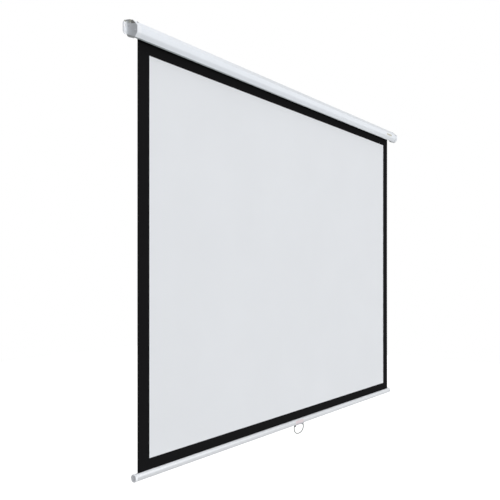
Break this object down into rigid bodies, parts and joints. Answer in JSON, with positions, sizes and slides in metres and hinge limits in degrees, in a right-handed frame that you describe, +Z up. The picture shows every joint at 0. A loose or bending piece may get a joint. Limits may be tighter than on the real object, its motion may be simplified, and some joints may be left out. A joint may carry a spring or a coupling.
{
  "type": "pull down projector screen",
  "caption": "Wall-hung pull-down projector screen with a folded metal case, spring roller, black-bordered white cloth, weighted bottom bar and wire pull handle.",
  "frame": {"origin": "the case's rear face, halfway along its length and halfway up it", "axes": "+X to the viewer's right along the case, +Y backwards into the wall, +Z up"},
  "size_m": [2.2856, 0.0603, 1.7493],
  "materials": {
    "white_painted_steel": "white powder coat, satin",
    "bracket_paint": "pale grey powder coat, satin",
    "cap_plastic": "grey moulding, fine texture",
    "zinc_steel": "zinc plated",
    "dark_screw_steel": "black zinc",
    "roller_aluminium": "drawn tube",
    "white_nylon": "natural nylon",
    "spring_steel": "oiled spring wire",
    "picture_cloth": "matt white viewing surface with a black border and a black back",
    "border_cloth": "matt black back of the cloth",
    "bar_paint": "white paint, satin",
    "plug_plastic": "pale grey moulding",
    "saddle_plastic": "blue-grey moulding",
    "handle_steel": "plated wire"
  },
  "bodies": {
    "case": {"case_profile": "white_painted_steel", "left_end_cap": "cap_plastic", "right_end_cap": "cap_plastic", "left_wall_bracket": "bracket_paint", "right_wall_bracket": "bracket_paint", "left_upper_screw": "bracket_paint", "left_lower_screw": "bracket_paint", "right_upper_screw": "bracket_paint", "right_lower_screw": "bracket_paint", "left_case_screw": "dark_screw_steel", "right_case_screw": "dark_screw_steel", "idle_pin": "zinc_steel", "spring_shaft": "zinc_steel", "ratchet_hub": "zinc_steel", "spring_anchor": "zinc_steel", "screen_cloth": "picture_cloth"},
    "roller": {"roller_tube": "roller_aluminium", "cloth_roll": "border_cloth", "idle_plug": "white_nylon", "lock_plug": "white_nylon", "shaft_bush": "white_nylon", "return_spring": "spring_steel", "pawl_pin_a": "dark_screw_steel", "pawl_pin_b": "dark_screw_steel"},
    "pawl_a": {"pawl_a": "zinc_steel"},
    "pawl_b": {"pawl_b": "zinc_steel"},
    "bottom_bar": {"bar_tube": "bar_paint", "left_bar_plug": "plug_plastic", "right_bar_plug": "plug_plastic", "hem_rod": "zinc_steel", "handle_saddle": "saddle_plastic", "saddle_screw_1": "dark_screw_steel", "saddle_screw_2": "dark_screw_steel"},
    "pull_handle": {"pull_handle": "handle_steel"}
  },
  "joints": [
    {"name": "screen_travel", "type": "slide", "parent": "case", "child": "bottom_bar", "axis": [0, 0, 1], "range_m": [0, 1.6075], "deforming": ["screen_cloth"]},
    {"name": "roller_spin", "type": "hinge", "parent": "case", "child": "roller", "pos_m": [0, -0.03094, -0.003], "axis": [1, 0, 0], "range_deg": [0, 4594]},
    {"name": "pawl_a_pivot", "type": "hinge", "parent": "roller", "child": "pawl_a", "pos_m": [1.08255, -0.03094, 0.009], "axis": [1, 0, 0], "range_deg": [0, 15]},
    {"name": "pawl_b_pivot", "type": "hinge", "parent": "roller", "child": "pawl_b", "pos_m": [1.08255, -0.03094, -0.015], "axis": [1, 0, 0], "range_deg": [0, 15]},
    {"name": "handle_swing", "type": "hinge", "parent": "bottom_bar", "child": "pull_handle", "pos_m": [0.0137, -0.013, -1.66745], "axis": [1, 0, 0], "range_deg": [-90, 90]}
  ],
  "couplings": [
    {"joint": "roller_spin", "follows": "screen_travel", "rad_per_m": 49.88}
  ]
}
